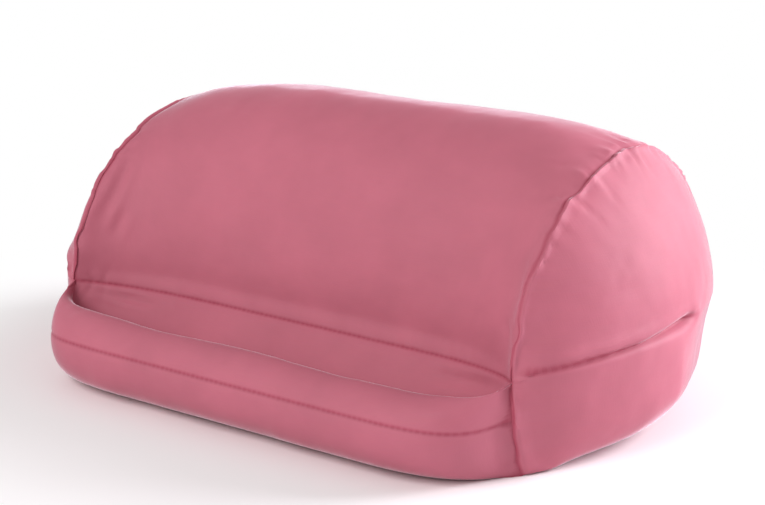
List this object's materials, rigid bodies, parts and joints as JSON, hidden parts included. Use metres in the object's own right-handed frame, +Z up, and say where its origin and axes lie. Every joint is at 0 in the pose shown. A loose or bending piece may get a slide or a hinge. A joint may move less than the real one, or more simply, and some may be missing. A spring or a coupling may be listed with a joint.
{
  "type": "tablet stand",
  "caption": "Beanbag tablet stand: a bead-filled satin log with a sloped rest face, a trough and a soft front lip, and a zip low on the back for the filled bags",
  "frame": {"origin": "middle of the underside, on the surface that the stand lies on", "axes": "+X along the log, +Y from the lip to the back, +Z up"},
  "size_m": [0.3806, 0.252, 0.16],
  "materials": {
    "cover": "pink polyester satin with a soft sheen",
    "lip_cloth": "the same satin, a shade deeper",
    "liner": "undyed calico",
    "beads": "white foam beads",
    "zip_tape": "woven polyester tape",
    "zip_teeth": "moulded teeth",
    "zip_metal": "die-cast and nickel-plated"
  },
  "bodies": {
    "stand": {"log_panel": "cover", "trough_panel": "cover", "back_strip": "cover", "base_panel": "cover", "end_panel_left": "cover", "end_panel_right": "cover", "trough_divider": "cover", "lip_front_panel": "lip_cloth", "log_liner": "liner", "log_liner_patch": "liner", "lip_liner": "liner", "lip_liner_patch": "liner", "log_bead_fill": "beads", "lip_bead_fill": "beads", "zip_tape_upper": "zip_tape", "zip_tape_lower": "zip_tape", "zip_teeth_upper": "zip_teeth", "zip_teeth_lower": "zip_teeth", "zip_bottom_stop": "zip_metal", "zip_top_stop_upper": "zip_metal", "zip_top_stop_lower": "zip_metal"},
    "slider": {"zip_slider": "zip_metal"},
    "pull": {"zip_pull": "zip_metal"}
  },
  "joints": [
    {"name": "zip_slide", "type": "slide", "parent": "stand", "child": "slider", "axis": [-1, 0, 0], "range_m": [0, 0.268], "deforming": ["zip_teeth_upper", "zip_teeth_lower"]},
    {"name": "pull_hinge", "type": "hinge", "parent": "slider", "child": "pull", "pos_m": [0.1335, 0.12295, 0.027], "axis": [0, 0, -1], "range_deg": [0, 170]}
  ]
}
